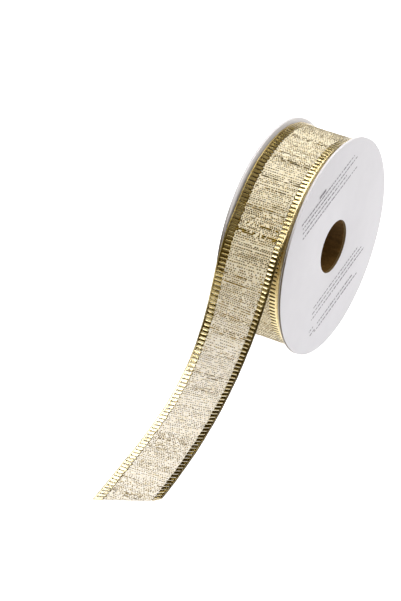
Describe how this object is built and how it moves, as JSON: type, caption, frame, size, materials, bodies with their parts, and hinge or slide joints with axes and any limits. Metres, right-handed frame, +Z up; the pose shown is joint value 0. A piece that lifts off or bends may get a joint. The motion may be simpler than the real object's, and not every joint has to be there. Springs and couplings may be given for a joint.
{
  "type": "ribbon spool",
  "caption": "Cardboard spool of wired, gold-edged fabric ribbon, standing on its rims, with its loose end drawn off and resting on the table.",
  "frame": {"origin": "centre of the core's bore, midway between the flanges", "axes": "+X along the bore and out of the printed face, -Y the way the loose end comes off the roll, +Z up"},
  "size_m": [0.0288, 0.1851, 0.09],
  "materials": {
    "flange_board": "matt grey-white board, cut edge",
    "white_paper": "smooth coated white paper",
    "kraft_tube": "raw brown kraft board",
    "glue": "dried white glue",
    "tape": "clear film",
    "ribbon_cloth": "ivory plain weave with fine gold weft yarns",
    "gold_weave": "metallic gold yarn, satin woven",
    "edge_wire": "thin bendable wire"
  },
  "bodies": {
    "spool": {"front_flange_board": "flange_board", "front_flange_face_paper": "white_paper", "front_flange_lining_paper": "white_paper", "back_flange_board": "flange_board", "back_flange_face_paper": "white_paper", "back_flange_lining_paper": "white_paper", "core_tube": "kraft_tube", "front_glue_film": "glue", "back_glue_film": "glue", "starting_tape": "tape", "roll_cloth": "ribbon_cloth", "roll_left_gold_band": "gold_weave", "roll_right_gold_band": "gold_weave", "roll_left_wire": "edge_wire", "roll_right_wire": "edge_wire"},
    "outer_turn": {"turn_cloth": "ribbon_cloth", "turn_left_gold_band": "gold_weave", "turn_right_gold_band": "gold_weave", "turn_left_wire": "edge_wire", "turn_right_wire": "edge_wire"},
    "loose_end": {"tail_cloth": "ribbon_cloth", "tail_left_gold_band": "gold_weave", "tail_right_gold_band": "gold_weave", "tail_left_wire": "edge_wire", "tail_right_wire": "edge_wire"}
  },
  "joints": [
    {"name": "ribbon_unwind", "type": "hinge", "parent": "spool", "child": "outer_turn", "pos_m": [0, 0, 0], "axis": [-1, 0, 0], "continuous": true},
    {"name": "loose_end_bend", "type": "hinge", "parent": "outer_turn", "child": "loose_end", "pos_m": [0, -0.03195, 0.02877], "axis": [-1, 0, 0], "range_deg": [0, 35]}
  ]
}
